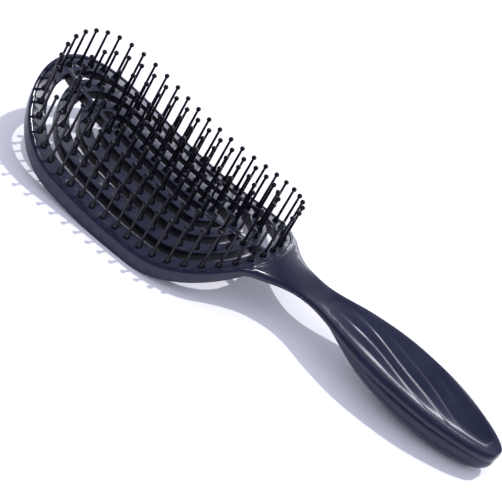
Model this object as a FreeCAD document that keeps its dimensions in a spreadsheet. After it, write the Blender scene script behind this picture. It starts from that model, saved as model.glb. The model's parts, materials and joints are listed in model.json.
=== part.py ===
# Vented detangling brush: oval rim, flexible concentric bristle loops and a leaf-shaped handle.
# The brush lies on its back, pins up, tip towards -X, origin under the middle of its box.
import FreeCAD
import Part
import Sketcher
import math
import os

Vector = FreeCAD.Vector
Placement = FreeCAD.Placement
Rotation = FreeCAD.Rotation

doc = FreeCAD.newDocument("DetanglingBrush")
sheet = doc.addObject("Spreadsheet::Sheet", "Sheet")

# Driving dimensions, in millimetres and degrees
SIZES = [
    ("half_straight", 23.0),
    ("row_radius", 35.0),
    ("core_radius", 5.0),
    ("bar_width", 5.6),
    ("loop_depth", 4.2),
    ("ring_depth", 2.4),
    ("vault_radius", 97.0),
    ("rocker_radius", 187.0),
    ("head_tilt", 4.3),
    ("head_height", 14.2),
    ("ring_margin", 2.7),
    ("rim_gap", 0.3),
    ("rim_wall", 1.6),
    ("rim_lip", 0.5),
    ("rim_depth", 6.2),
    ("rim_rocker_radius", 155.0),
    ("rim_top_round", 0.6),
    ("rim_low_round", 1.2),
    ("ledge_reach", 2.0),
    ("spine_half", 1.1),
    ("flex_gap", 0.5),
    ("pin_pitch", 6.35),
    ("pin_length", 19.2),
    ("pin_root_radius", 1.3),
    ("pin_collar", 0.35),
    ("pin_taper", 2.2),
    ("pin_shaft_radius", 0.6),
    ("pin_neck_radius", 0.52),
    ("pin_ball_radius", 1.05),
    ("socket_depth", 1.6),
    ("pin_fit", 0.02),
    ("handle_reach", 178.0),
    ("handle_half", 15.4),
    ("lip_height", 18.2),
    ("lip_depth", 4.2),
    ("neck_step", 0.15),
    ("weld_depth", 1.2),
    ("saucer_half", 13.2),
    ("saucer_depth", 1.7),
    ("inlay_half", 11.6),
    ("inlay_fit", 0.1),
    ("inlay_base", 1.0),
    ("ridge_rise", 0.75),
    ("seat_overlap", 0.3),
    ("overrun", 20.0),
]
LOOPS = 3
RING_PINS = 49
RING_START_SHARE = 0.25
RIDGES = 5
SIDES = (("left", 1), ("right", -1))

for row, (alias, value) in enumerate(SIZES, start=1):
    sheet.set(f"A{row}", alias)
    sheet.set(f"B{row}", str(value))
    sheet.setAlias(f"B{row}", alias)
doc.recompute()


def size(alias):
    return float(sheet.get(alias))


# Stations along the neck and handle, as shares of the reach from the head's centre
STATION_SHARES = [0.281, 0.309, 0.337, 0.371, 0.421, 0.478, 0.562, 0.612, 0.663, 0.758, 0.843, 0.912,
                  0.955, 0.981, 0.993, 0.9985]
WIDTH_SHARES = [1.765, 1.43, 1.1, 0.79, 0.54, 0.468, 0.685, 0.82, 0.92, 0.965, 0.885, 0.685,
                0.50, 0.335, 0.215, 0.10]
# Heights of the lip's edge and of its middle, as shares of the lip's height; the first stations
# follow the vaulted rim instead
RIM_STATIONS = 3
EDGE_SHARES = [0, 0, 0, 0.985, 1.0, 1.012, 1.03, 1.02, 1.0, 0.94, 0.868, 0.797, 0.753, 0.722, 0.705,
               0.695]
CROWN_SHARES = [0, 0, 0, 1.06, 1.02, 1.0, 1.012, 1.002, 0.983, 0.924, 0.853, 0.785, 0.744, 0.715, 0.70,
                0.692]
DEPTH_SHARES = [1.05, 0.95, 0.85, 0.75, 0.62, 0.58, 0.7, 0.85, 1.0, 1.0, 1.0, 1.0, 1.0, 0.95, 0.86, 0.7]
# Rise of the underside's middle over its edges, as shares of the lip's depth
ARCH_SHARES = [0.8, 0.5, 0.25, 0.05, -0.2, -0.25, -0.2, -0.12, -0.05, -0.05, -0.05, -0.05,
               -0.05, -0.05, -0.05, -0.05]
LIP_BULGE_SHARE = 0.36

# Stations of the lower half of the handle, and the height of its belly as shares of the lip's height
BELLY_STATION_SHARES = [0.46, 0.51, 0.562, 0.612, 0.663, 0.758, 0.843, 0.912, 0.955, 0.979, 0.990, 0.9955]
BELLY_WIDTH_SHARES = [0.18, 0.38, 0.60, 0.77, 0.89, 1.0, 0.92, 0.715, 0.525, 0.36, 0.235, 0.12]
BELLY_HEIGHT_SHARES = [0.81, 0.74, 0.59, 0.39, 0.22, 0.06, -0.03, -0.03, 0.04, 0.13, 0.22, 0.33]
BELLY_TUCK_SHARE = 0.35

# Stations, widths and depths of the leaf-shaped saucer and its grip inlay
LEAF_STATION_SHARES = [0.505, 0.562, 0.612, 0.663, 0.758, 0.843, 0.908, 0.944, 0.962, 0.971]
LEAF_WIDTH_SHARES = [0.28, 0.63, 0.80, 0.91, 1.0, 0.9, 0.69, 0.5, 0.33, 0.16]
LEAF_DEPTH_SHARES = [0.15, 0.35, 0.55, 0.75, 1.0, 1.0, 0.95, 0.85, 0.7, 0.5]
LEAF_SWAY_SHARE = 0.8

SEAT_RADIUS = size("row_radius") + size("ring_margin") + size("rim_gap")
RIM_RADIUS = SEAT_RADIUS + size("rim_wall")
HEAD_TIP = size("half_straight") + RIM_RADIUS
TILT = math.radians(size("head_tilt"))


# Height of a saddle-shaped face over the bed's centre, a given depth below the top of the bed
def saddle_height(x, y, depth, rocker):
    tube = size("vault_radius") - depth
    drop = size("vault_radius") - math.sqrt(tube**2 - y**2)
    return rocker - math.sqrt((rocker + drop) ** 2 - x**2)


def bed_height(x, y):
    return saddle_height(x, y, 0, size("rocker_radius"))


def rim_top_height(x, y):
    return saddle_height(x, y, -size("rim_lip"), size("rocker_radius"))


def rim_low_height(x, y):
    return saddle_height(x, y, size("rim_depth"), size("rim_rocker_radius"))


TIP_LOW = rim_low_height(HEAD_TIP, 0) + size("rim_low_round")
TIP_REACH = HEAD_TIP * math.cos(TILT) - TIP_LOW * math.sin(TILT)
HEAD_X = (TIP_REACH - size("handle_reach")) / 2
HEAD_PLACE = Placement(Vector(HEAD_X, 0, size("head_height")), Rotation(Vector(0, 1, 0), size("head_tilt")))


def add(kind, label):
    item = doc.addObject(kind, label)
    item.Label = label
    return item


def bind(item, **formulas):
    for prop, formula in formulas.items():
        item.setExpression(prop, formula)
    return item


# Puts a piece that was built round the bed's centre in its place on the tilted head
def place_on_head(item):
    item.Placement = HEAD_PLACE
    item.setExpression("Placement.Base.z", "Sheet.head_height")
    item.setExpression("Placement.Rotation.Angle", "Sheet.head_tilt")
    return item


def cut(label, base, tool):
    item = add("Part::Cut", label)
    item.Base = base
    item.Tool = tool
    return item


def common(label, *shapes):
    item = add("Part::MultiCommon", label)
    item.Shapes = list(shapes)
    return item


def solid(label, shape):
    item = add("Part::Feature", label)
    item.Shape = shape
    return item


# Prism with a stadium outline: two straight sides and two round ends on the head's end centres
def stadium_prism(label, radius_formula, radius):
    sketch = add("Sketcher::SketchObject", label + "_outline")
    half = size("half_straight")
    quarter = math.pi / 2
    up = Vector(0, 0, 1)
    right = Part.ArcOfCircle(Part.Circle(Vector(half, 0, 0), up, radius), -quarter, quarter)
    left = Part.ArcOfCircle(Part.Circle(Vector(-half, 0, 0), up, radius), quarter, 3 * quarter)
    far_side = Part.LineSegment(Vector(-half, radius, 0), Vector(half, radius, 0))
    near_side = Part.LineSegment(Vector(half, -radius, 0), Vector(-half, -radius, 0))
    sketch.addGeometry([far_side, right, near_side, left], False)
    for first, end, second, start in ((0, 2, 1, 2), (1, 1, 2, 1), (2, 2, 3, 2), (3, 1, 0, 1)):
        sketch.addConstraint(Sketcher.Constraint("Tangent", first, end, second, start))
    sketch.addConstraint(Sketcher.Constraint("Horizontal", 0))
    sketch.addConstraint(Sketcher.Constraint("PointOnObject", 1, 3, -1))
    sketch.addConstraint(Sketcher.Constraint("Symmetric", 1, 3, 3, 3, -1, 1))
    spread = sketch.addConstraint(Sketcher.Constraint("DistanceX", -1, 1, 1, 3, half))
    curve = sketch.addConstraint(Sketcher.Constraint("Radius", 1, radius))
    sketch.setExpression(f"Constraints[{spread}]", "Sheet.half_straight")
    sketch.setExpression(f"Constraints[{curve}]", radius_formula)
    prism = add("Part::Extrusion", label)
    prism.Base = sketch
    prism.DirMode = "Custom"
    prism.Dir = up
    prism.Solid = True
    bind(prism, LengthFwd="Sheet.overrun", LengthRev="Sheet.overrun")
    return prism


# Everything below a saddle-shaped face that lies a given depth below the top of the bed
def saddle(label, depth_formula, rocker_formula="Sheet.rocker_radius"):
    item = add("Part::Torus", label)
    item.Placement = Placement(Vector(0, 0, 0), Rotation(Vector(1, 0, 0), 90))
    bind(item, Radius1=f"{rocker_formula} + Sheet.vault_radius")
    bind(item, Radius2=f"Sheet.vault_radius - {depth_formula}")
    item.setExpression("Placement.Base.z", rocker_formula)
    return item


# Length of one half of a row of pins, from the tip to the neck
def half_row(radius):
    return radius * math.pi + 2 * size("half_straight")


# Point on a row of pins, a length along it from the tip, on the side where Y is positive
def row_point(radius, length):
    half = size("half_straight")
    bend = radius * math.pi / 2
    if length < bend:
        angle = length / radius
        return -half - radius * math.cos(angle), radius * math.sin(angle)
    if length < bend + 2 * half:
        return length - bend - half, radius
    angle = (length - bend - 2 * half) / radius
    return half + radius * math.sin(angle), radius * math.cos(angle)


def pin_foot(radius, length, sign):
    x, y = row_point(radius, length)
    return Vector(x, sign * y, bed_height(x, y))


# Feet of the pins of a half loop, evenly spread between its ends
def loop_feet(radius, sign):
    end = size("spine_half") + size("flex_gap")
    margin = radius * math.asin(end / radius) + 2 * size("pin_root_radius")
    free = half_row(radius) - 2 * margin
    gaps = round(free / size("pin_pitch"))
    return [pin_foot(radius, margin + index * free / gaps, sign) for index in range(gaps + 1)]


# Feet of the outer pins, evenly spread all round from a little way left of the tip
def ring_feet():
    radius = size("row_radius")
    half = half_row(radius)
    feet = {"left": [], "right": []}
    for index in range(RING_PINS):
        length = 2 * half * (index + RING_START_SHARE) / RING_PINS
        if length < half:
            feet["left"].append(pin_foot(radius, length, 1))
        else:
            feet["right"].append(pin_foot(radius, 2 * half - length, -1))
    return feet


def rows_of(shape, feet):
    copies = []
    for foot in feet:
        copy = shape.copy()
        copy.translate(foot)
        copies.append(copy)
    return Part.makeCompound(copies)


# One ball-tipped pin, turned about its axis, with its foot on the bed at the origin
def make_pin():
    body = add("PartDesign::Body", "pin")
    plane = next(item for item in body.Origin.OriginFeatures if item.Role == "XZ_Plane")
    sketch = body.newObject("Sketcher::SketchObject", "pin_profile")
    sketch.AttachmentSupport = (plane, [""])
    sketch.MapMode = "FlatFace"
    ball = size("pin_ball_radius")
    centre = size("pin_length") - ball
    neck = size("pin_neck_radius")
    join = centre - math.sqrt(ball**2 - neck**2)
    flare = size("pin_collar") + size("pin_taper")
    outline = [
        Vector(0, -size("socket_depth"), 0),
        Vector(size("pin_root_radius"), -size("socket_depth"), 0),
        Vector(size("pin_root_radius"), size("pin_collar"), 0),
        Vector(size("pin_shaft_radius"), flare, 0),
        Vector(neck, join, 0),
    ]
    for start, end in zip(outline, outline[1:]):
        sketch.addGeometry(Part.LineSegment(start, end), False)
    cap = Part.Circle(Vector(0, centre, 0), Vector(0, 0, 1), ball)
    sketch.addGeometry(Part.ArcOfCircle(cap, math.asin((join - centre) / ball), math.pi / 2), False)
    sketch.addGeometry(Part.LineSegment(Vector(0, size("pin_length"), 0), outline[0]), False)
    for index in range(3):
        sketch.addConstraint(Sketcher.Constraint("Coincident", index, 2, index + 1, 1))
    sketch.addConstraint(Sketcher.Constraint("Coincident", 3, 2, 4, 1))
    sketch.addConstraint(Sketcher.Constraint("Coincident", 4, 2, 5, 1))
    sketch.addConstraint(Sketcher.Constraint("Coincident", 5, 2, 0, 1))
    sketch.addConstraint(Sketcher.Constraint("Horizontal", 0))
    sketch.addConstraint(Sketcher.Constraint("Vertical", 1))
    for line, end in ((0, 1), (4, 3), (4, 2)):
        sketch.addConstraint(Sketcher.Constraint("PointOnObject", line, end, -2))
    measures = [
        (Sketcher.Constraint("DistanceY", 0, 1, -1, 1, size("socket_depth")), "Sheet.socket_depth"),
        (Sketcher.Constraint("DistanceX", -1, 1, 0, 2, size("pin_root_radius")), "Sheet.pin_root_radius"),
        (Sketcher.Constraint("DistanceY", -1, 1, 1, 2, size("pin_collar")), "Sheet.pin_collar"),
        (Sketcher.Constraint("DistanceX", -1, 1, 2, 2, size("pin_shaft_radius")), "Sheet.pin_shaft_radius"),
        (Sketcher.Constraint("DistanceY", -1, 1, 2, 2, flare), "Sheet.pin_collar + Sheet.pin_taper"),
        (Sketcher.Constraint("DistanceX", -1, 1, 3, 2, neck), "Sheet.pin_neck_radius"),
        (Sketcher.Constraint("Radius", 4, ball), "Sheet.pin_ball_radius"),
        (Sketcher.Constraint("DistanceY", -1, 1, 4, 2, size("pin_length")), "Sheet.pin_length"),
    ]
    for constraint, formula in measures:
        index = sketch.addConstraint(constraint)
        sketch.setExpression(f"Constraints[{index}]", formula)
    turned = body.newObject("PartDesign::Revolution", "pin_turned")
    turned.Profile = sketch
    turned.ReferenceAxis = (sketch, ["V_Axis"])
    turned.Angle = 360
    return body


# The bed: saddle-shaped slabs, cut into concentric bands
bed_top = saddle("bed_top", "0")
ring_under = saddle("ring_under", "Sheet.ring_depth")
ring_slab = cut("ring_slab", bed_top, ring_under)
loop_slab = cut("loop_slab", bed_top, saddle("loop_under", "Sheet.loop_depth"))
pin = make_pin()
socket = add("Part::Cylinder", "socket")
bind(socket, Radius="Sheet.pin_root_radius + Sheet.pin_fit", Height="Sheet.socket_depth + Sheet.overrun")
socket.setExpression("Placement.Base.z", "-Sheet.socket_depth")
doc.recompute()


# Radius of the middle of a band, counted inwards from the outer row, as a formula and as a number
def band_radius(step):
    formula = f"Sheet.row_radius - {step} * (Sheet.row_radius - Sheet.core_radius) / {LOOPS}"
    return formula, size("row_radius") - step * (size("row_radius") - size("core_radius")) / LOOPS


def band(label, step, slab, edge_formula, edge):
    middle, radius = band_radius(step)
    hollow = radius - size("bar_width") / 2
    outer = stadium_prism(label + "_outside", f"{middle} + {edge_formula}", radius + edge)
    inner = stadium_prism(label + "_inside", f"{middle} - Sheet.bar_width / 2", hollow)
    return common(label + "_band", cut(label + "_wall", outer, inner), slab)


# Half of the space, on one side of the spines
def side_space(label, sign):
    item = add("Part::Box", label)
    reach = "(Sheet.row_radius + Sheet.half_straight)"
    bind(item, Length=f"2 * {reach}", Width="Sheet.row_radius", Height="2 * Sheet.overrun")
    item.setExpression("Placement.Base.x", f"-{reach}")
    item.setExpression("Placement.Base.z", "-Sheet.overrun")
    edge = "Sheet.spine_half + Sheet.flex_gap"
    item.setExpression("Placement.Base.y", edge if sign > 0 else f"-({edge}) - Sheet.row_radius")
    return item


pieces = []
side_spaces = {name: side_space(f"space_{name}", sign) for name, sign in SIDES}

for step in range(1, LOOPS + 1):
    loop_band = band(f"loop_{step}", step, loop_slab, "Sheet.bar_width / 2", size("bar_width") / 2)
    loop_radius = band_radius(step)[1]
    for name, sign in SIDES:
        feet = loop_feet(loop_radius, sign)
        half_loop = common(f"loop_{step}_{name}_bar", loop_band, side_spaces[name])
        sockets = solid(f"sockets_{step}_{name}", rows_of(socket.Shape, feet))
        pieces.append(place_on_head(cut(f"loop_{step}_{name}", half_loop, sockets)))
        pieces.append(place_on_head(solid(f"pins_{step}_{name}", rows_of(pin.Shape, feet))))

# The outer band with its two spines, which carry the half loops at the tip and at the neck
ring_band = band("ring", 0, ring_slab, "Sheet.ring_margin", size("ring_margin"))
core_inside = "Sheet.core_radius - Sheet.bar_width / 2"
spine_start = f"(Sheet.half_straight + {core_inside})"
spine_length = f"(Sheet.row_radius - Sheet.ledge_reach - Sheet.rim_gap - ({core_inside}))"
spines = []
for name, sign in (("tip", -1), ("neck", 1)):
    strip = add("Part::Box", f"spine_{name}_strip")
    bind(strip, Length=spine_length, Width="2 * Sheet.spine_half", Height="2 * Sheet.overrun")
    strip.setExpression("Placement.Base.x", spine_start if sign > 0 else f"-{spine_start} - {spine_length}")
    strip.setExpression("Placement.Base.y", "-Sheet.spine_half")
    strip.setExpression("Placement.Base.z", "-Sheet.overrun")
    spines.append(common(f"spine_{name}", strip, loop_slab))
ring_whole = add("Part::MultiFuse", "ring_whole")
ring_whole.Shapes = [ring_band] + spines
outer_feet = ring_feet()
ring_sockets = solid("ring_sockets", rows_of(socket.Shape, outer_feet["left"] + outer_feet["right"]))
pieces.append(place_on_head(cut("bed_ring", ring_whole, ring_sockets)))
for name, sign in SIDES:
    pieces.append(place_on_head(solid(f"pins_ring_{name}", rows_of(pin.Shape, outer_feet[name]))))

# The rim, rounded outside, with a ledge that the outer band sits on
seat_formula = "Sheet.row_radius + Sheet.ring_margin + Sheet.rim_gap"
rim_outside = stadium_prism("rim_outside", seat_formula + " + Sheet.rim_wall", RIM_RADIUS)
ledge_radius = size("row_radius") - size("ledge_reach")
rim_inside = stadium_prism("rim_inside", "Sheet.row_radius - Sheet.ledge_reach", ledge_radius)
rim_under = saddle("rim_under", "Sheet.rim_depth", "Sheet.rim_rocker_radius")
rim_top = saddle("rim_top", "(-Sheet.rim_lip)")
rim_capped = common("rim_capped", cut("rim_wall_blank", rim_outside, rim_inside), rim_top)
rim_blank = cut("rim_blank", rim_capped, rim_under)
doc.recompute()


# Numbers of the edges that run round the outside of the rim at a given height
def rim_edges(height):
    numbers = []
    for number, edge in enumerate(rim_blank.Shape.Edges, start=1):
        middle = edge.valueAt((edge.FirstParameter + edge.LastParameter) / 2)
        reach = math.hypot(max(abs(middle.x) - size("half_straight"), 0), middle.y)
        away = max(abs(reach - RIM_RADIUS), abs(middle.z - height(middle.x, middle.y)))
        if away < size("rim_gap"):
            numbers.append(number)
    return numbers


rim_rounded = add("Part::Fillet", "rim_rounded")
rim_rounded.Base = rim_blank
top_round = size("rim_top_round")
low_round = size("rim_low_round")
rim_rounded.Edges = [(number, top_round, top_round) for number in rim_edges(rim_top_height)] + [
    (number, low_round, low_round) for number in rim_edges(rim_low_height)]
seat = stadium_prism("seat", seat_formula, SEAT_RADIUS)
rim = place_on_head(cut("rim", rim_rounded, cut("seat_space", seat, ring_under)))


# A point on the section across the handle at one station
def section_point(share, y, z):
    return Vector(HEAD_X + share * size("handle_reach"), y, z)


# Height over the table, at a station of the neck, that continues the top of the rim
def rim_height(share, y):
    x = share * size("handle_reach")
    local = Vector(x, y, rim_top_height(x, y))
    return HEAD_PLACE.multVec(local).z - size("neck_step")


# Lipped upper half of the neck and handle: an arched top, round sides and an arched underside
def upper_section(index):
    share = STATION_SHARES[index]
    half = WIDTH_SHARES[index] * size("handle_half")
    depth = DEPTH_SHARES[index] * size("lip_depth")
    if index < RIM_STATIONS:
        edge = rim_height(share, half)
        crown = rim_height(share, 0)
    else:
        edge = EDGE_SHARES[index] * size("lip_height")
        crown = CROWN_SHARES[index] * size("lip_height")
    low = edge - depth
    middle = edge - depth / 2
    side = half + LIP_BULGE_SHARE * depth
    near_top = section_point(share, -half, edge)
    far_top = section_point(share, half, edge)
    near_low = section_point(share, -half, low)
    far_low = section_point(share, half, low)
    under = section_point(share, 0, low + ARCH_SHARES[index] * size("lip_depth"))
    return Part.Wire([
        Part.Arc(near_low, section_point(share, -side, middle), near_top).toShape(),
        Part.Arc(near_top, section_point(share, 0, crown), far_top).toShape(),
        Part.Arc(far_top, section_point(share, side, middle), far_low).toShape(),
        Part.Arc(far_low, under, near_low).toShape(),
    ])


# Value of a table of shares between the stations of the upper half
def between(shares, share):
    for index in range(RIM_STATIONS, len(STATION_SHARES) - 1):
        first = STATION_SHARES[index]
        last = STATION_SHARES[index + 1]
        if first <= share <= last:
            return shares[index] + (shares[index + 1] - shares[index]) * (share - first) / (last - first)
    raise ValueError("station outside the handle")


def lip_edge(share):
    return between(EDGE_SHARES, share) * size("lip_height")


def parting_height(share):
    return lip_edge(share) - between(DEPTH_SHARES, share) * size("lip_depth")


# Bulging lower half: an ellipse that tucks in under the lip
def belly_section(index):
    share = BELLY_STATION_SHARES[index]
    half = BELLY_WIDTH_SHARES[index] * size("handle_half")
    top = parting_height(share) + size("seat_overlap")
    bottom = BELLY_HEIGHT_SHARES[index] * size("lip_height")
    rise = (top - bottom) / (1 + BELLY_TUCK_SHARE)
    tuck = half * math.sqrt(1 - BELLY_TUCK_SHARE**2)
    middle = bottom + rise
    points = [section_point(share, -tuck, top)]
    for turn in range(5):
        angle = math.pi + turn * math.pi / 4
        points.append(section_point(share, half * math.cos(angle), middle + rise * math.sin(angle)))
    points.append(section_point(share, tuck, top))
    curve = Part.BSplineCurve()
    curve.interpolate(points)
    return Part.Wire([curve.toShape(), Part.LineSegment(points[-1], points[0]).toShape()])


# The leaf-shaped saucer in the top of the handle
def saucer_section(index):
    share = LEAF_STATION_SHARES[index]
    half = LEAF_WIDTH_SHARES[index] * size("saucer_half")
    edge = lip_edge(share)
    near = section_point(share, -half, edge)
    far = section_point(share, half, edge)
    dip = section_point(share, 0, edge - LEAF_DEPTH_SHARES[index] * size("saucer_depth"))
    near_top = section_point(share, -half, edge + size("overrun"))
    far_top = section_point(share, half, edge + size("overrun"))
    return Part.Wire([
        Part.Arc(near, dip, far).toShape(),
        Part.LineSegment(far, far_top).toShape(),
        Part.LineSegment(far_top, near_top).toShape(),
        Part.LineSegment(near_top, near).toShape(),
    ])


# Height of the floor under the inlay
def pocket_floor(index):
    dip = LEAF_DEPTH_SHARES[index] * size("saucer_depth")
    return lip_edge(LEAF_STATION_SHARES[index]) - dip - size("inlay_base")


# The pocket in the saucer that takes the inlay, open at the top
def pocket_section(index):
    share = LEAF_STATION_SHARES[index]
    half = LEAF_WIDTH_SHARES[index] * size("inlay_half") + size("inlay_fit")
    floor = pocket_floor(index)
    top = floor + size("overrun")
    corners = [(-half, floor), (half, floor), (half, top), (-half, top)]
    points = [section_point(share, y, z) for y, z in corners]
    return Part.makePolygon(points + points[:1])


# The inlay: a flat foot and a top that follows the saucer, with flowing ridges
def inlay_section(index):
    share = LEAF_STATION_SHARES[index]
    along = (share - LEAF_STATION_SHARES[0]) / (LEAF_STATION_SHARES[-1] - LEAF_STATION_SHARES[0])
    narrow = LEAF_WIDTH_SHARES[index]
    half = narrow * size("inlay_half")
    foot = pocket_floor(index) - size("seat_overlap")
    dip = LEAF_DEPTH_SHARES[index] * size("saucer_depth")
    sway = LEAF_SWAY_SHARE * math.cos(math.pi * along) / 2
    places = []
    for ridge in range(RIDGES + 1):
        even = 2 * ridge / RIDGES - 1
        places.append(even + sway * (1 - even**2))
    inset = size("inlay_half") / size("saucer_half")
    base = [lip_edge(share) - dip * (1 - (place * inset) ** 2) for place in places]
    valleys = [section_point(share, place * half, z) for place, z in zip(places, base)]
    edges = []
    for ridge in range(RIDGES):
        peak_place = (places[ridge] + places[ridge + 1]) / 2
        peak_height = (base[ridge] + base[ridge + 1]) / 2 + size("ridge_rise") * narrow
        peak = section_point(share, peak_place * half, peak_height)
        edges.append(Part.Arc(valleys[ridge], peak, valleys[ridge + 1]).toShape())
    near_foot = section_point(share, -half, foot)
    far_foot = section_point(share, half, foot)
    edges.append(Part.LineSegment(valleys[-1], far_foot).toShape())
    edges.append(Part.LineSegment(far_foot, near_foot).toShape())
    edges.append(Part.LineSegment(near_foot, valleys[0]).toShape())
    return Part.Wire(edges)


def loft(label, section, stations):
    return solid(label, Part.makeLoft([section(index) for index in range(len(stations))], True))


# The table that the brush lies on trims small flats on the rim and on the handle
table = add("Part::Box", "table")
bind(table, Length="2 * Sheet.handle_reach", Width="4 * Sheet.row_radius", Height="Sheet.overrun")
table.setExpression("Placement.Base.x", "-Sheet.handle_reach")
table.setExpression("Placement.Base.y", "-2 * Sheet.row_radius")
table.setExpression("Placement.Base.z", "-Sheet.overrun")

# The frame: rim, neck and upper handle in one piece, with the saucer and the pocket for the inlay
weld_formula = seat_formula + " + Sheet.rim_wall - Sheet.weld_depth"
head_space = place_on_head(stadium_prism("head_space", weld_formula, RIM_RADIUS - size("weld_depth")))
upper_blank = loft("upper_blank", upper_section, STATION_SHARES)
upper = cut("upper_handle", upper_blank, head_space)
dished = cut("upper_dished", upper, loft("saucer", saucer_section, LEAF_STATION_SHARES))
hollowed = cut("upper_hollowed", dished, loft("pocket", pocket_section, LEAF_STATION_SHARES))
frame_blank = add("Part::Fuse", "frame_blank")
frame_blank.Base = rim
frame_blank.Tool = hollowed
pieces.append(cut("frame", frame_blank, table))

# The lower half and the inlay lie flat against the faces that carry them
belly = cut("belly", loft("belly_blank", belly_section, BELLY_STATION_SHARES), upper_blank)
pieces.append(cut("handle_back", belly, table))
pieces.append(cut("grip_inlay", loft("inlay_blank", inlay_section, LEAF_STATION_SHARES), hollowed))

doc.recompute()
for item in doc.Objects:
    if "Invalid" in item.State or "Error" in item.State:
        raise RuntimeError(f"{item.Label} failed: {item.State}")
for piece in pieces:
    if piece.Shape.isNull() or not piece.Shape.isValid():
        raise RuntimeError(f"{piece.Label} has no valid shape")

os.makedirs("parts", exist_ok=True)
for piece in pieces:
    piece.Shape.exportStep(f"parts/{piece.Label}.step")
    print(piece.Label, len(piece.Shape.Solids), round(piece.Shape.Volume, 1), piece.Shape.BoundBox)
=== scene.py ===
# Looks of the vented detangling brush: folded grip, softened bed, hinge webs, finishes, stage and camera.
import json
import math

import bpy
import numpy as np
from bpy.props import FloatProperty, FloatVectorProperty, PointerProperty
from mathutils import Matrix, Vector, geometry


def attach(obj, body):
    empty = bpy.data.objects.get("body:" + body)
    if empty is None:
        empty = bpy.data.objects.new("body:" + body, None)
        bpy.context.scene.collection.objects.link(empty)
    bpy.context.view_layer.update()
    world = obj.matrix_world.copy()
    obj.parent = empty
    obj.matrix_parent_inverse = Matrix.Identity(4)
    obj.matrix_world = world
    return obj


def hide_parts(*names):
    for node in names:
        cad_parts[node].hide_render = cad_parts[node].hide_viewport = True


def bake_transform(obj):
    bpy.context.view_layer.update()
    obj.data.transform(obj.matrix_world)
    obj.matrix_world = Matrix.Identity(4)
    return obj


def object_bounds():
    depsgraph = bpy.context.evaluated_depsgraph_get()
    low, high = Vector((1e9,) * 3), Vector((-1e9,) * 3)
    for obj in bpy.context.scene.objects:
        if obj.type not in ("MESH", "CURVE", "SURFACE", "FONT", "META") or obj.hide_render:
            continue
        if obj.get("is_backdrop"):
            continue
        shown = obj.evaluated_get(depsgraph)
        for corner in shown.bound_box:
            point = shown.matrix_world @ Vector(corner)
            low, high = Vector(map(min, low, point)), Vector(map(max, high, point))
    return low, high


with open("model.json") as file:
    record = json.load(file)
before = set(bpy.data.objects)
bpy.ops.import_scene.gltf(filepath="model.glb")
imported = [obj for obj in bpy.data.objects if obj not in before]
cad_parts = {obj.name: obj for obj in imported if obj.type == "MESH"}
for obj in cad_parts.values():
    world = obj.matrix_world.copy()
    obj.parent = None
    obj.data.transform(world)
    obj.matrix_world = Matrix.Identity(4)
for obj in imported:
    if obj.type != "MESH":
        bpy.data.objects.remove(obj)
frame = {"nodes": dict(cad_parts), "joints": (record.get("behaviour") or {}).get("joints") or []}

bl_info = {
    "name": "Detangling Brush",
    "version": (1, 0, 0),
    "blender": (4, 5, 0),
    "location": "View3D > Sidebar > Brush",
    "description": "Folded grip, softened bed, finishes and stage of a vented detangling brush",
    "category": "Object",
}

MM = 0.001
LOOPS = (1, 2, 3)
SIDES = ("left", "right")
GRIP_COLUMNS = 240
GRIP_ROWS = 72
COLUMN_DIGITS = 5
DOWN = Vector((0, 0, -1))

# Along the grip, as shares of its length: the dish's full depth, the change of its section and its round end
DISH_FULL_SHARE = 0.9
SECTION_START_SHARE = 0.4
SECTION_RUN_SHARE = 0.5
END_START_SHARE = 0.86
END_RUN_SHARE = 0.14

# Power of the dish's section at the neck, and what it gains towards the end
NECK_SECTION_POWER = 0.8
SECTION_POWER_GAIN = 0.3

# Along the grip, as shares of its length: where the folds grow and where they fade
FOLD_GROW_START_SHARE = 0.04
FOLD_GROW_RUN_SHARE = 0.3
FOLD_FADE_START_SHARE = 0.62
FOLD_FADE_RUN_SHARE = 0.28

# A fold's rise and drop as shares of its pitch, its sinking and each fold's strength as shares of its height
FOLD_RISE_SHARE = 0.68
FOLD_DROP_SHARE = 0.32
FOLD_SINK_SHARE = 0.6
FOLD_STRENGTH_SHARES = (0.75, 0.5, 1.0)

# Clouding, unevenness and grain of the plastic, and the upward slopes between its painted side shade, which
# stands in for the shade on faces that don't look up, and its top
CLOUD_DETAIL = 4
CLOUD_RANGE = (0.3, 0.7)
CLOUD_TINTS = (0.86, 1.1)
ROUGHNESS_SPREAD = (-0.05, 0.06)
GRAIN_DETAIL = 2
GRAIN_STRENGTH = 0.05
GRAIN_FLATNESS = 5
UPWARD_RANGE = (0.45, 0.85)
FLOOR_ROUGHNESS = 0.9

# Directions between which the mirrored studio brightens towards the far side and towards the floor
FAR_RANGE = (-0.2, 0.9)
LOW_RANGE = (0.78, 0)

# Angles over which edges are rounded or stay sharp, and under which faces count as flat
SHELL_EDGE = math.radians(25)
BED_EDGE = math.radians(50)
SOFTENED_SHARP = math.radians(35)
GRIP_SHARP = math.radians(50)
FLAT = math.radians(0.5)

# Meshing: steps of a rounded edge, cuts of a web, and the distances within which corners belong together
EDGE_STEPS = 2
WEB_CUTS = 3
WELD = 0.001 * MM
FACE_REACH = 0.01 * MM
END_REACH = 0.5 * MM
FLOOR_DROP = 0.02 * MM

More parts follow.
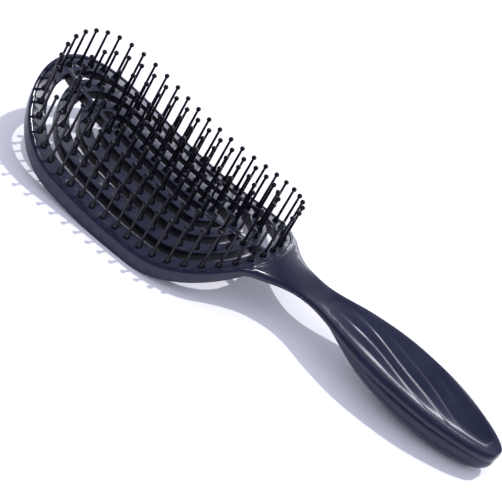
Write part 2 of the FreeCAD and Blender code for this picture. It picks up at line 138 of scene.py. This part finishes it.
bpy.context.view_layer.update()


class BrushShape(bpy.types.PropertyGroup):
    """Sizes of the pieces that are modelled here"""

    dish_depth: FloatProperty(
        name="Dish depth", description="Depth of the grip's dish below its border",
        unit="LENGTH", min=0, default=2.2 * MM)
    dish_start: FloatProperty(
        name="Dish start", description="Depth of the grip's dish at its neck end",
        unit="LENGTH", min=0, default=0.2 * MM)
    dish_overlap: FloatProperty(
        name="Dish overlap", description="How far the grip's border reaches over the edge of its pocket",
        unit="LENGTH", min=0, default=0.7 * MM)
    dish_lift: FloatProperty(
        name="Dish lift", description="How far the grip's border stands over the handle",
        unit="LENGTH", min=0, default=0.03 * MM)
    grip_wall: FloatProperty(
        name="Grip wall", description="Thickness of the grip's sheet",
        unit="LENGTH", min=0, default=0.15 * MM)
    fold_rise: FloatProperty(
        name="Fold rise", description="Height of the folds in the grip",
        unit="LENGTH", min=0, default=0.7 * MM)
    fold_pitch: FloatProperty(
        name="Fold pitch", description="Distance across the grip from fold to fold",
        unit="LENGTH", min=1 * MM, default=6.2 * MM)
    fold_start: FloatProperty(
        name="Fold start", description="Place of the first fold beside the grip's middle, at its neck end",
        unit="LENGTH", default=0.7 * MM)
    fold_slant: FloatProperty(
        name="Fold slant",
        description="How steeply the folds cross the grip at its neck end, as a rise over a run",
        default=0.08)
    fold_bend: FloatProperty(
        name="Fold bend", description="How fast the folds bend to the near side, per metre along the grip",
        default=1.8)
    fold_wave: FloatProperty(
        name="Fold wave", description="How far the folds sway from their sweep",
        unit="LENGTH", min=0, default=0.45 * MM)
    fold_wave_length: FloatProperty(
        name="Fold wave length", description="Length of the sway along the grip",
        unit="LENGTH", min=1 * MM, default=31 * MM)
    edge_round: FloatProperty(
        name="Edge round", description="Rounding of the bed's moulded edges",
        unit="LENGTH", min=0, default=0.3 * MM)
    lip_round: FloatProperty(
        name="Lip round", description="Rounding of the edges of the rim and handle",
        unit="LENGTH", min=0, default=0.6 * MM)
    web_wall: FloatProperty(
        name="Web wall", description="Thickness of the webs that the loops flex on",
        unit="LENGTH", min=0, default=0.8 * MM)
    web_seat: FloatProperty(
        name="Web seat", description="How far a web reaches into the bar and the spine that it joins",
        unit="LENGTH", min=0, default=0.15 * MM)


class BrushFinishes(bpy.types.PropertyGroup):
    """Colours and gloss of the moulded parts, and the painted shade on the sides of the loops"""

    body_colour: FloatVectorProperty(
        name="Body", description="Colour of the rim and handle",
        subtype="COLOR", size=3, min=0, max=1, default=(0.0115, 0.0140, 0.036))
    grip_colour: FloatVectorProperty(
        name="Grip", description="Colour of the folded grip",
        subtype="COLOR", size=3, min=0, max=1, default=(0.0155, 0.0190, 0.042))
    bed_colour: FloatVectorProperty(
        name="Bed", description="Colour of the flexible loops",
        subtype="COLOR", size=3, min=0, max=1, default=(0.024, 0.027, 0.050))
    pin_colour: FloatVectorProperty(
        name="Pins", description="Colour of the ball-tipped pins",
        subtype="COLOR", size=3, min=0, max=1, default=(0.0030, 0.0034, 0.0075))
    body_roughness: FloatProperty(
        name="Body roughness", description="Roughness of the satin mouldings",
        subtype="FACTOR", min=0, max=1, default=0.22)
    grip_roughness: FloatProperty(
        name="Grip roughness", description="Roughness of the polished grip",
        subtype="FACTOR", min=0, max=1, default=0.15)
    bed_roughness: FloatProperty(
        name="Bed roughness", description="Roughness of the flexible loops",
        subtype="FACTOR", min=0, max=1, default=0.30)
    pin_roughness: FloatProperty(
        name="Pin roughness", description="Roughness of the glossy pins",
        subtype="FACTOR", min=0, max=1, default=0.26)
    body_shine: FloatProperty(
        name="Body shine", description="Strength of the reflections on the rim and handle",
        subtype="FACTOR", min=0, max=1, default=0.42)
    bed_shine: FloatProperty(
        name="Bed shine", description="Strength of the reflections on the flexible loops",
        subtype="FACTOR", min=0, max=1, default=0.3)
    # Painted shade: the sides of the ring, loops and webs are coloured darker in place of the shade that
    # falls between the loops
    bed_side_painted_shade: FloatProperty(
        name="Bed side shade", description="How dark the polished sides of the loops are beside their tops",
        subtype="FACTOR", min=0, max=1, default=0.2)
    pin_shine: FloatProperty(
        name="Pin shine", description="Strength of the reflections on the pins",
        subtype="FACTOR", min=0, max=1, default=0.35)
    grain_size: FloatProperty(
        name="Grain", description="Size of the moulded grain",
        unit="LENGTH", min=0.01 * MM, default=0.35 * MM)
    cloud_size: FloatProperty(
        name="Clouding", description="Size of the faint patches in the plastic",
        unit="LENGTH", min=0.1 * MM, default=14 * MM)


class BrushStage(bpy.types.PropertyGroup):
    """Floor, lamps and camera"""

    floor_colour: FloatVectorProperty(
        name="Floor", description="Colour of the plain floor",
        subtype="COLOR", size=3, min=0, max=1, default=(0.92, 0.92, 0.95))
    floor_half: FloatProperty(
        name="Floor half width", description="Half the width of the floor",
        unit="LENGTH", min=0.1, default=4.0)
    key_power: FloatProperty(
        name="Key", description="Strength of the key lamp", min=0, default=1.7)
    key_spread: FloatProperty(
        name="Key spread", description="Angle that the key lamp covers, which softens its shadows",
        subtype="ANGLE", min=0, max=math.pi, default=math.radians(1.2))
    key_direction: FloatVectorProperty(
        name="Key direction", description="Where the key lamp stands, seen from the brush",
        subtype="XYZ", size=3, default=(0.20, 0.38, 1.0))
    strip_power: FloatProperty(
        name="Strip", description="Power of the long low lamp on the far side, in watts", min=0, default=2.4)
    strip_place: FloatVectorProperty(
        name="Strip place", description="Middle of the long low lamp",
        subtype="TRANSLATION", unit="LENGTH", size=3, default=(0.0, 0.95, 0.2))
    strip_length: FloatProperty(
        name="Strip length", description="Length of the long low lamp", unit="LENGTH", min=0.01, default=1.2)
    strip_height: FloatProperty(
        name="Strip height", description="Height of the long low lamp", unit="LENGTH", min=0.01, default=0.16)
    sky_level: FloatProperty(
        name="Sky", description="Level of the even light from all round", min=0, max=2, default=0.95)
    gloss_dark: FloatProperty(
        name="Dark studio",
        description="Level of the studio overhead and on the near side, as the gloss mirrors it",
        min=0, max=2, default=0.2)
    gloss_bright: FloatProperty(
        name="Bright studio", description="Level of the studio low on the far side, as the gloss mirrors it",
        min=0, max=4, default=1.9)
    sky_colour: FloatVectorProperty(
        name="Sky colour", description="Colour of the even light from all round",
        subtype="COLOR", size=3, min=0, max=1, default=(0.82, 0.83, 1.0))
    azimuth: FloatProperty(
        name="Azimuth", description="Turn of the camera round the brush, from its near side",
        subtype="ANGLE", default=math.radians(21.848))
    elevation: FloatProperty(
        name="Elevation", description="Height of the camera over the floor",
        subtype="ANGLE", default=math.radians(34.701))
    roll: FloatProperty(
        name="Roll", description="Tilt of the camera about its own axis",
        subtype="ANGLE", default=math.radians(26.062))
    aim: FloatVectorProperty(
        name="Aim", description="Point that the camera looks at",
        subtype="TRANSLATION", unit="LENGTH", size=3, default=(-14.270 * MM, 17.529 * MM, 0.384 * MM))
    distance: FloatProperty(
        name="Distance", description="Distance from the camera to its aim",
        unit="LENGTH", min=0.01, default=885.36 * MM)
    lens: FloatProperty(
        name="Lens", description="Focal length of the camera, in millimetres", min=1, default=156.63)


def set_range(ramp, limits):
    ramp.inputs["From Min"].default_value = limits[0]
    ramp.inputs["From Max"].default_value = limits[1]


# Satin plastic with a fine moulded grain, faint clouding and slightly uneven gloss; faces that don't look up
# get painted shade, their colour darkened by the side shade in place of the shade that falls on them
def moulded_plastic(name, colour, roughness, shine, finishes, side_painted_shade=1):
    material = bpy.data.materials.new(name)
    material.use_nodes = True
    nodes = material.node_tree.nodes
    links = material.node_tree.links
    shader = nodes["Principled BSDF"]
    shader.inputs["Specular IOR Level"].default_value = shine
    place = nodes.new("ShaderNodeTexCoord")
    cloud = nodes.new("ShaderNodeTexNoise")
    cloud.inputs["Scale"].default_value = 1 / finishes.cloud_size
    cloud.inputs["Detail"].default_value = CLOUD_DETAIL
    tint = nodes.new("ShaderNodeValToRGB")
    for stop, position, strength in zip(tint.color_ramp.elements, CLOUD_RANGE, CLOUD_TINTS):
        stop.position = position
        stop.color = [channel * strength for channel in colour] + [1]
    gloss = nodes.new("ShaderNodeMapRange")
    for limit, spread in zip(("To Min", "To Max"), ROUGHNESS_SPREAD):
        gloss.inputs[limit].default_value = roughness + spread
    grain = nodes.new("ShaderNodeTexNoise")
    grain.inputs["Scale"].default_value = 1 / finishes.grain_size
    grain.inputs["Detail"].default_value = GRAIN_DETAIL
    bump = nodes.new("ShaderNodeBump")
    bump.inputs["Strength"].default_value = GRAIN_STRENGTH
    bump.inputs["Distance"].default_value = finishes.grain_size / GRAIN_FLATNESS
    for texture in (cloud, grain):
        links.new(place.outputs["Object"], texture.inputs["Vector"])
    links.new(cloud.outputs["Fac"], tint.inputs["Fac"])
    links.new(cloud.outputs["Fac"], gloss.inputs["Value"])
    links.new(grain.outputs["Fac"], bump.inputs["Height"])
    # Painted shade: the colour is scaled down on faces whose normals don't point up
    facing = nodes.new("ShaderNodeNewGeometry")
    parts = nodes.new("ShaderNodeSeparateXYZ")
    shade = nodes.new("ShaderNodeMapRange")
    set_range(shade, UPWARD_RANGE)
    shade.inputs["To Min"].default_value = side_painted_shade
    shaded = nodes.new("ShaderNodeVectorMath")
    shaded.operation = "SCALE"
    links.new(facing.outputs["Normal"], parts.inputs["Vector"])
    links.new(parts.outputs["Z"], shade.inputs["Value"])
    links.new(tint.outputs["Color"], shaded.inputs["Vector"])
    links.new(shade.outputs["Result"], shaded.inputs["Scale"])
    links.new(shaded.outputs["Vector"], shader.inputs["Base Color"])
    links.new(gloss.outputs["Result"], shader.inputs["Roughness"])
    links.new(bump.outputs["Normal"], shader.inputs["Normal"])
    return material


def dress(mesh, material):
    mesh.materials.clear()
    mesh.materials.append(material)


def smooth_step(value):
    share = min(max(value, 0), 1)
    return share * share * (3 - 2 * share)


# Copies a moulding, joins its faces and rounds the edges that are sharper than an angle
def soften(context, node, body, material, round_size, sharp):
    piece = frame["nodes"][node].copy()
    piece.data = piece.data.copy()
    piece.name = f"{node}_softened"
    piece.parent = None
    for key in list(piece.keys()):
        del piece[key]
    context.collection.objects.link(piece)
    bpy.ops.object.select_all(action="DESELECT")
    context.view_layer.objects.active = piece
    piece.select_set(True)
    bpy.ops.object.mode_set(mode="EDIT")
    bpy.ops.mesh.select_all(action="SELECT")
    bpy.ops.mesh.remove_doubles(threshold=WELD)
    bpy.ops.mesh.dissolve_limited(angle_limit=FLAT)
    bpy.ops.object.mode_set(mode="OBJECT")
    bevel = piece.modifiers.new("edges", "BEVEL")
    bevel.width = round_size
    bevel.segments = EDGE_STEPS
    bevel.limit_method = "ANGLE"
    bevel.angle_limit = sharp
    bpy.ops.object.modifier_apply(modifier=bevel.name)
    bpy.ops.object.shade_smooth_by_angle(angle=SOFTENED_SHARP)
    dress(piece.data, material)
    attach(piece, body)
    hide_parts(node)


class BRUSH_OT_shell(bpy.types.Operator):
    """Gives the rim, neck and handle their satin finish"""

    bl_idname = "brush.shell"
    bl_label = "Finish the Shell"

    def execute(self, context):
        finishes = context.scene.brush_finishes
        round_size = context.scene.brush_shape.lip_round
        body = moulded_plastic(
            "satin_body", finishes.body_colour, finishes.body_roughness, finishes.body_shine, finishes)
        for node in ("frame", "handle_back"):
            soften(context, node, "body", body, round_size, SHELL_EDGE)
        return {"FINISHED"}


class BRUSH_OT_grip(bpy.types.Operator):
    """Sculpts the dished grip with its slanting folds, in place of the plain inlay"""

    bl_idname = "brush.grip"
    bl_label = "Sculpt the Grip"

    def execute(self, context):
        shape = context.scene.brush_shape
        finishes = context.scene.brush_finishes
        bpy.ops.object.select_all(action="DESELECT")
        bpy.ops.mesh.primitive_grid_add(x_subdivisions=GRIP_COLUMNS, y_subdivisions=GRIP_ROWS, size=2)
        grip = context.active_object
        grip.name = "grip_folds"
        self.place_columns(grip.data, shape)
        wall = grip.modifiers.new("wall", "SOLIDIFY")
        wall.thickness = shape.grip_wall
        bpy.ops.object.modifier_apply(modifier=wall.name)
        bpy.ops.object.shade_smooth_by_angle(angle=GRIP_SHARP)
        satin = moulded_plastic(
            "satin_grip", finishes.grip_colour, finishes.grip_roughness, finishes.body_shine, finishes)
        dress(grip.data, satin)
        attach(grip, "body")
        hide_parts("grip_inlay")
        return {"FINISHED"}

    # Half of the inlay's leaf-shaped outline, as places along the handle and half widths
    def leaf_outline(self):
        corners = [vertex.co.xy for vertex in frame["nodes"]["grip_inlay"].data.vertices]
        hull = [corners[index] for index in geometry.convex_hull_2d(corners)]
        half = sorted(corner.to_tuple() for corner in hull if corner.y > 0)
        return np.array(half).T

    # Moves the grid's columns onto the leaf, from its neck end to its round end
    def place_columns(self, mesh, shape):
        along, widths = self.leaf_outline()
        handle = frame["nodes"]["frame"]
        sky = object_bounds()[1].z
        columns = {}
        for vertex in mesh.vertices:
            columns.setdefault(round(vertex.co.x, COLUMN_DIGITS), []).append(vertex)
        for column, vertices in columns.items():
            share = (column + 1) / 2
            x = along[0] - shape.dish_overlap + share * (along[-1] - along[0] + shape.dish_overlap)
            half = float(np.interp(x, along, widths)) + shape.dish_overlap
            found, rim, _, _ = handle.ray_cast(Vector((x, half, sky)), DOWN)
            if not found:
                raise RuntimeError("the grip's border misses the handle")
            for vertex in vertices:
                across = vertex.co.y
                y = across * half
                rise = self.fold(share, x - along[0], y, across, shape) - self.dish(share, across, shape)
                vertex.co = (x, y, rim.z + shape.dish_lift + rise)

    # Depth of the dish, which grows from the neck and rounds up at its end
    def dish(self, share, across, shape):
        end = math.sqrt(1 - max(0, (share - END_START_SHARE) / END_RUN_SHARE) ** 2)
        change = smooth_step((share - SECTION_START_SHARE) / SECTION_RUN_SHARE)
        power = NECK_SECTION_POWER + SECTION_POWER_GAIN * change
        growth = smooth_step(share / DISH_FULL_SHARE)
        depth = shape.dish_start + (shape.dish_depth - shape.dish_start) * growth
        return depth * end * (1 - across**2) ** power

    # Height of the folds: each rises from its valley, flattens out and drops steeply on the far side
    def fold(self, share, run, y, across, shape):
        sweep = shape.fold_slant * run + shape.fold_bend * run**2
        wave = shape.fold_wave * math.sin(math.tau * (run + y) / shape.fold_wave_length)
        number, place = divmod((y + sweep + wave - shape.fold_start) / shape.fold_pitch, 1)
        strength = FOLD_STRENGTH_SHARES[int(number) % len(FOLD_STRENGTH_SHARES)]
        if place < FOLD_RISE_SHARE:
            rise = math.sin(place / FOLD_RISE_SHARE * math.pi / 2)
        else:
            rise = smooth_step((1 - place) / FOLD_DROP_SHARE)
        grown = smooth_step((share - FOLD_GROW_START_SHARE) / FOLD_GROW_RUN_SHARE)
        faded = smooth_step((share - FOLD_FADE_START_SHARE) / FOLD_FADE_RUN_SHARE)
        height = shape.fold_rise * (grown * (1 - faded) * (1 - across**2))
        return height * (strength * rise - FOLD_SINK_SHARE)


class BRUSH_OT_bed(bpy.types.Operator):
    """Rounds the moulded edges of the ring and the flexible loops and gives them their finish, with painted
    shade on their sides
    """

    bl_idname = "brush.bed"
    bl_label = "Soften the Bed"

    def execute(self, context):
        finishes = context.scene.brush_finishes
        # The bed's material paints shade on the sides of the ring and loops
        bed = moulded_plastic(
            "satin_bed", finishes.bed_colour, finishes.bed_roughness, finishes.bed_shine, finishes,
            finishes.bed_side_painted_shade)
        round_size = context.scene.brush_shape.edge_round
        soften(context, "bed_ring", "body", bed, round_size, BED_EDGE)
        for step in LOOPS:
            for side in SIDES:
                node = f"loop_{step}_{side}"
                soften(context, node, node, bed, round_size, BED_EDGE)
        return {"FINISHED"}


class BRUSH_OT_webs(bpy.types.Operator):
    """Adds the thin webs on which the loops flex, between their ends and the spines"""

    bl_idname = "brush.webs"
    bl_label = "Join the Loops"

    def execute(self, context):
        finishes = context.scene.brush_finishes
        shape = context.scene.brush_shape
        # The webs' material paints shade on their sides, as on the loops
        rubbery = moulded_plastic(
            "satin_webs", finishes.bed_colour, finishes.bed_roughness, finishes.bed_shine, finishes,
            finishes.bed_side_painted_shade)
        for joint in frame["joints"]:
            self.join(context, joint, rubbery, shape)
        return {"FINISHED"}

    # Adds a web at each end of one half loop, in the middle of its depth
    def join(self, context, joint, material, shape):
        hinge = Vector(joint["pos_m"])
        along = Vector(joint["axis"]).normalized()
        aside = Vector((0, math.copysign(1, hinge.y), 0))
        upward = along.cross(aside)
        corners = []
        for vertex in frame["nodes"][joint["child"]].data.vertices:
            offset = vertex.co - hinge
            corners.append(Vector((offset.dot(along), offset.dot(aside), offset.dot(upward))))
        gap = min(corner.y for corner in corners)
        face = [corner for corner in corners if corner.y < gap + FACE_REACH]
        for end, sign in (("a", 1), ("b", -1)):
            ends = [corner for corner in face if corner.x * sign > 0]
            reach = (min(corner.x for corner in ends), max(corner.x for corner in ends))
            bpy.ops.object.select_all(action="DESELECT")
            bpy.ops.mesh.primitive_cube_add(size=2)
            web = context.active_object
            web.name = f"web_{joint['child']}_{end}"
            bpy.ops.object.mode_set(mode="EDIT")
            bpy.ops.mesh.select_all(action="SELECT")
            bpy.ops.mesh.subdivide(number_cuts=WEB_CUTS)
            bpy.ops.object.mode_set(mode="OBJECT")
            heights = [self.middle(ends, place) for place in reach]
            for vertex in web.data.vertices:
                share = (vertex.co.x + 1) / 2
                x = reach[0] + share * (reach[1] - reach[0])
                z = heights[0] + share * (heights[1] - heights[0]) + vertex.co.z * shape.web_wall / 2
                y = vertex.co.y * (gap + shape.web_seat)
                vertex.co = hinge + along * x + aside * y + upward * z
            dress(web.data, material)
            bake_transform(web)

    # Middle of the bar's depth at one end of its end face
    def middle(self, face, place):
        heights = [corner.z for corner in face if abs(corner.x - place) < END_REACH]
        return (min(heights) + max(heights)) / 2


class BRUSH_OT_pins(bpy.types.Operator):
    """Gives the ball-tipped pins their gloss"""

    bl_idname = "brush.pins"
    bl_label = "Finish the Pins"

    def execute(self, context):
        finishes = context.scene.brush_finishes
        gloss = moulded_plastic(
            "gloss_pins", finishes.pin_colour, finishes.pin_roughness, finishes.pin_shine, finishes)
        for step in ("ring",) + LOOPS:
            for side in SIDES:
                dress(frame["nodes"][f"pins_{step}_{side}"].data, gloss)
        return {"FINISHED"}


class BRUSH_OT_stage(bpy.types.Operator):
    """Adds the pale floor, the lamps and the camera"""

    bl_idname = "brush.stage"
    bl_label = "Set the Stage"

    def execute(self, context):
        stage = context.scene.brush_stage
        context.scene.view_settings.view_transform = "Standard"
        bpy.ops.object.select_all(action="DESELECT")
        bpy.ops.mesh.primitive_plane_add(size=2 * stage.floor_half, location=(0, 0, -FLOOR_DROP))
        floor = context.active_object
        floor.name = "floor"
        bpy.ops.object.transform_apply(location=True, rotation=False, scale=False)
        floor.data.materials.append(self.pale_floor(stage))
        floor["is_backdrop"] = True
        self.light_sky(context, stage)
        self.hang_key(context, stage)
        self.hang_strip(context, stage)
        self.set_camera(context, stage)
        return {"FINISHED"}

    def pale_floor(self, stage):
        material = bpy.data.materials.new("pale_floor")
        material.use_nodes = True
        shader = material.node_tree.nodes["Principled BSDF"]
        shader.inputs["Base Color"].default_value = list(stage.floor_colour) + [1]
        shader.inputs["Roughness"].default_value = FLOOR_ROUGHNESS
        shader.inputs["Specular IOR Level"].default_value = 0
        return material

    def light_sky(self, context, stage):
        world = bpy.data.worlds.new("studio")
        context.scene.world = world
        world.use_nodes = True
        nodes = world.node_tree.nodes
        links = world.node_tree.links
        sky = nodes["Background"]
        sky.inputs["Color"].default_value = list(stage.sky_colour) + [1]
        sky.inputs["Strength"].default_value = stage.sky_level
        mirrored = nodes.new("ShaderNodeBackground")
        mirrored.inputs["Color"].default_value = list(stage.sky_colour) + [1]
        links.new(self.bright_far_side(nodes, links, stage), mirrored.inputs["Strength"])
        white = nodes.new("ShaderNodeBackground")
        white.inputs["Color"].default_value = (1, 1, 1, 1)
        path = nodes.new("ShaderNodeLightPath")
        under = sky
        for seen, background in (("Is Glossy Ray", mirrored), ("Is Camera Ray", white)):
            mix = nodes.new("ShaderNodeMixShader")
            links.new(path.outputs[seen], mix.inputs["Fac"])
            links.new(under.outputs[0], mix.inputs[1])
            links.new(background.outputs["Background"], mix.inputs[2])
            under = mix
        links.new(under.outputs[0], nodes["World Output"].inputs["Surface"])

    # Level of the mirrored studio: bright low on the far side, dark overhead and on the near side
    def bright_far_side(self, nodes, links, stage):
        place = nodes.new("ShaderNodeTexCoord")
        parts = nodes.new("ShaderNodeSeparateXYZ")
        links.new(place.outputs["Generated"], parts.inputs["Vector"])
        far = nodes.new("ShaderNodeMapRange")
        set_range(far, FAR_RANGE)
        low = nodes.new("ShaderNodeMapRange")
        set_range(low, LOW_RANGE)
        for part, ramp in (("Y", far), ("Z", low)):
            ramp.interpolation_type = "SMOOTHSTEP"
            links.new(parts.outputs[part], ramp.inputs["Value"])
        both = nodes.new("ShaderNodeMath")
        both.operation = "MULTIPLY"
        links.new(far.outputs["Result"], both.inputs[0])
        links.new(low.outputs["Result"], both.inputs[1])
        level = nodes.new("ShaderNodeMapRange")
        level.inputs["To Min"].default_value = stage.gloss_dark
        level.inputs["To Max"].default_value = stage.gloss_bright
        links.new(both.outputs["Value"], level.inputs["Value"])
        return level.outputs["Result"]

    def hang_key(self, context, stage):
        bpy.ops.object.light_add(type="SUN")
        lamp = context.active_object
        lamp.name = "key"
        lamp.data.energy = stage.key_power
        lamp.data.angle = stage.key_spread
        lamp.rotation_euler = Vector(stage.key_direction).to_track_quat("Z", "Y").to_euler()

    # The long low lamp on the far side, which draws the glints inside the lip
    def hang_strip(self, context, stage):
        place = Vector(stage.strip_place)
        bpy.ops.object.light_add(type="AREA", location=place)
        lamp = context.active_object
        lamp.name = "strip"
        lamp.data.shape = "RECTANGLE"
        lamp.data.size = stage.strip_length
        lamp.data.size_y = stage.strip_height
        lamp.data.energy = stage.strip_power
        lamp.rotation_euler = place.to_track_quat("Z", "Y").to_euler()

    def set_camera(self, context, stage):
        back = Vector((
            math.sin(stage.azimuth) * math.cos(stage.elevation),
            -math.cos(stage.azimuth) * math.cos(stage.elevation),
            math.sin(stage.elevation),
        ))
        level = Vector((0, 0, 1)).cross(back).normalized()
        upright = back.cross(level)
        right = level * math.cos(stage.roll) + upright * math.sin(stage.roll)
        up = upright * math.cos(stage.roll) - level * math.sin(stage.roll)
        bpy.ops.object.camera_add()
        camera = context.active_object
        camera.name = "camera"
        turn = Matrix((right, up, back)).transposed().to_4x4()
        camera.matrix_world = Matrix.Translation(Vector(stage.aim) + back * stage.distance) @ turn
        camera.data.lens = stage.lens
        context.scene.camera = camera


class BRUSH_PT_sidebar(bpy.types.Panel):
    """Lists the steps that dress the brush"""

    bl_idname = "BRUSH_PT_sidebar"
    bl_label = "Detangling Brush"
    bl_space_type = "VIEW_3D"
    bl_region_type = "UI"
    bl_category = "Brush"

    def draw(self, context):
        for operator in OPERATORS:
            self.layout.operator(operator.bl_idname)


GROUPS = (BrushShape, BrushFinishes, BrushStage)
OPERATORS = (BRUSH_OT_grip, BRUSH_OT_shell, BRUSH_OT_bed, BRUSH_OT_webs, BRUSH_OT_pins, BRUSH_OT_stage)
CLASSES = GROUPS + OPERATORS + (BRUSH_PT_sidebar,)


def register():
    for item in CLASSES:
        bpy.utils.register_class(item)
    bpy.types.Scene.brush_shape = PointerProperty(type=BrushShape)
    bpy.types.Scene.brush_finishes = PointerProperty(type=BrushFinishes)
    bpy.types.Scene.brush_stage = PointerProperty(type=BrushStage)


def unregister():
    del bpy.types.Scene.brush_stage
    del bpy.types.Scene.brush_finishes
    del bpy.types.Scene.brush_shape
    for item in reversed(CLASSES):
        bpy.utils.unregister_class(item)


def main():
    register()
    bpy.ops.brush.grip()
    bpy.ops.brush.shell()
    bpy.ops.brush.bed()
    bpy.ops.brush.webs()
    bpy.ops.brush.pins()
    bpy.ops.brush.stage()


if __name__ == "__main__":
    main()
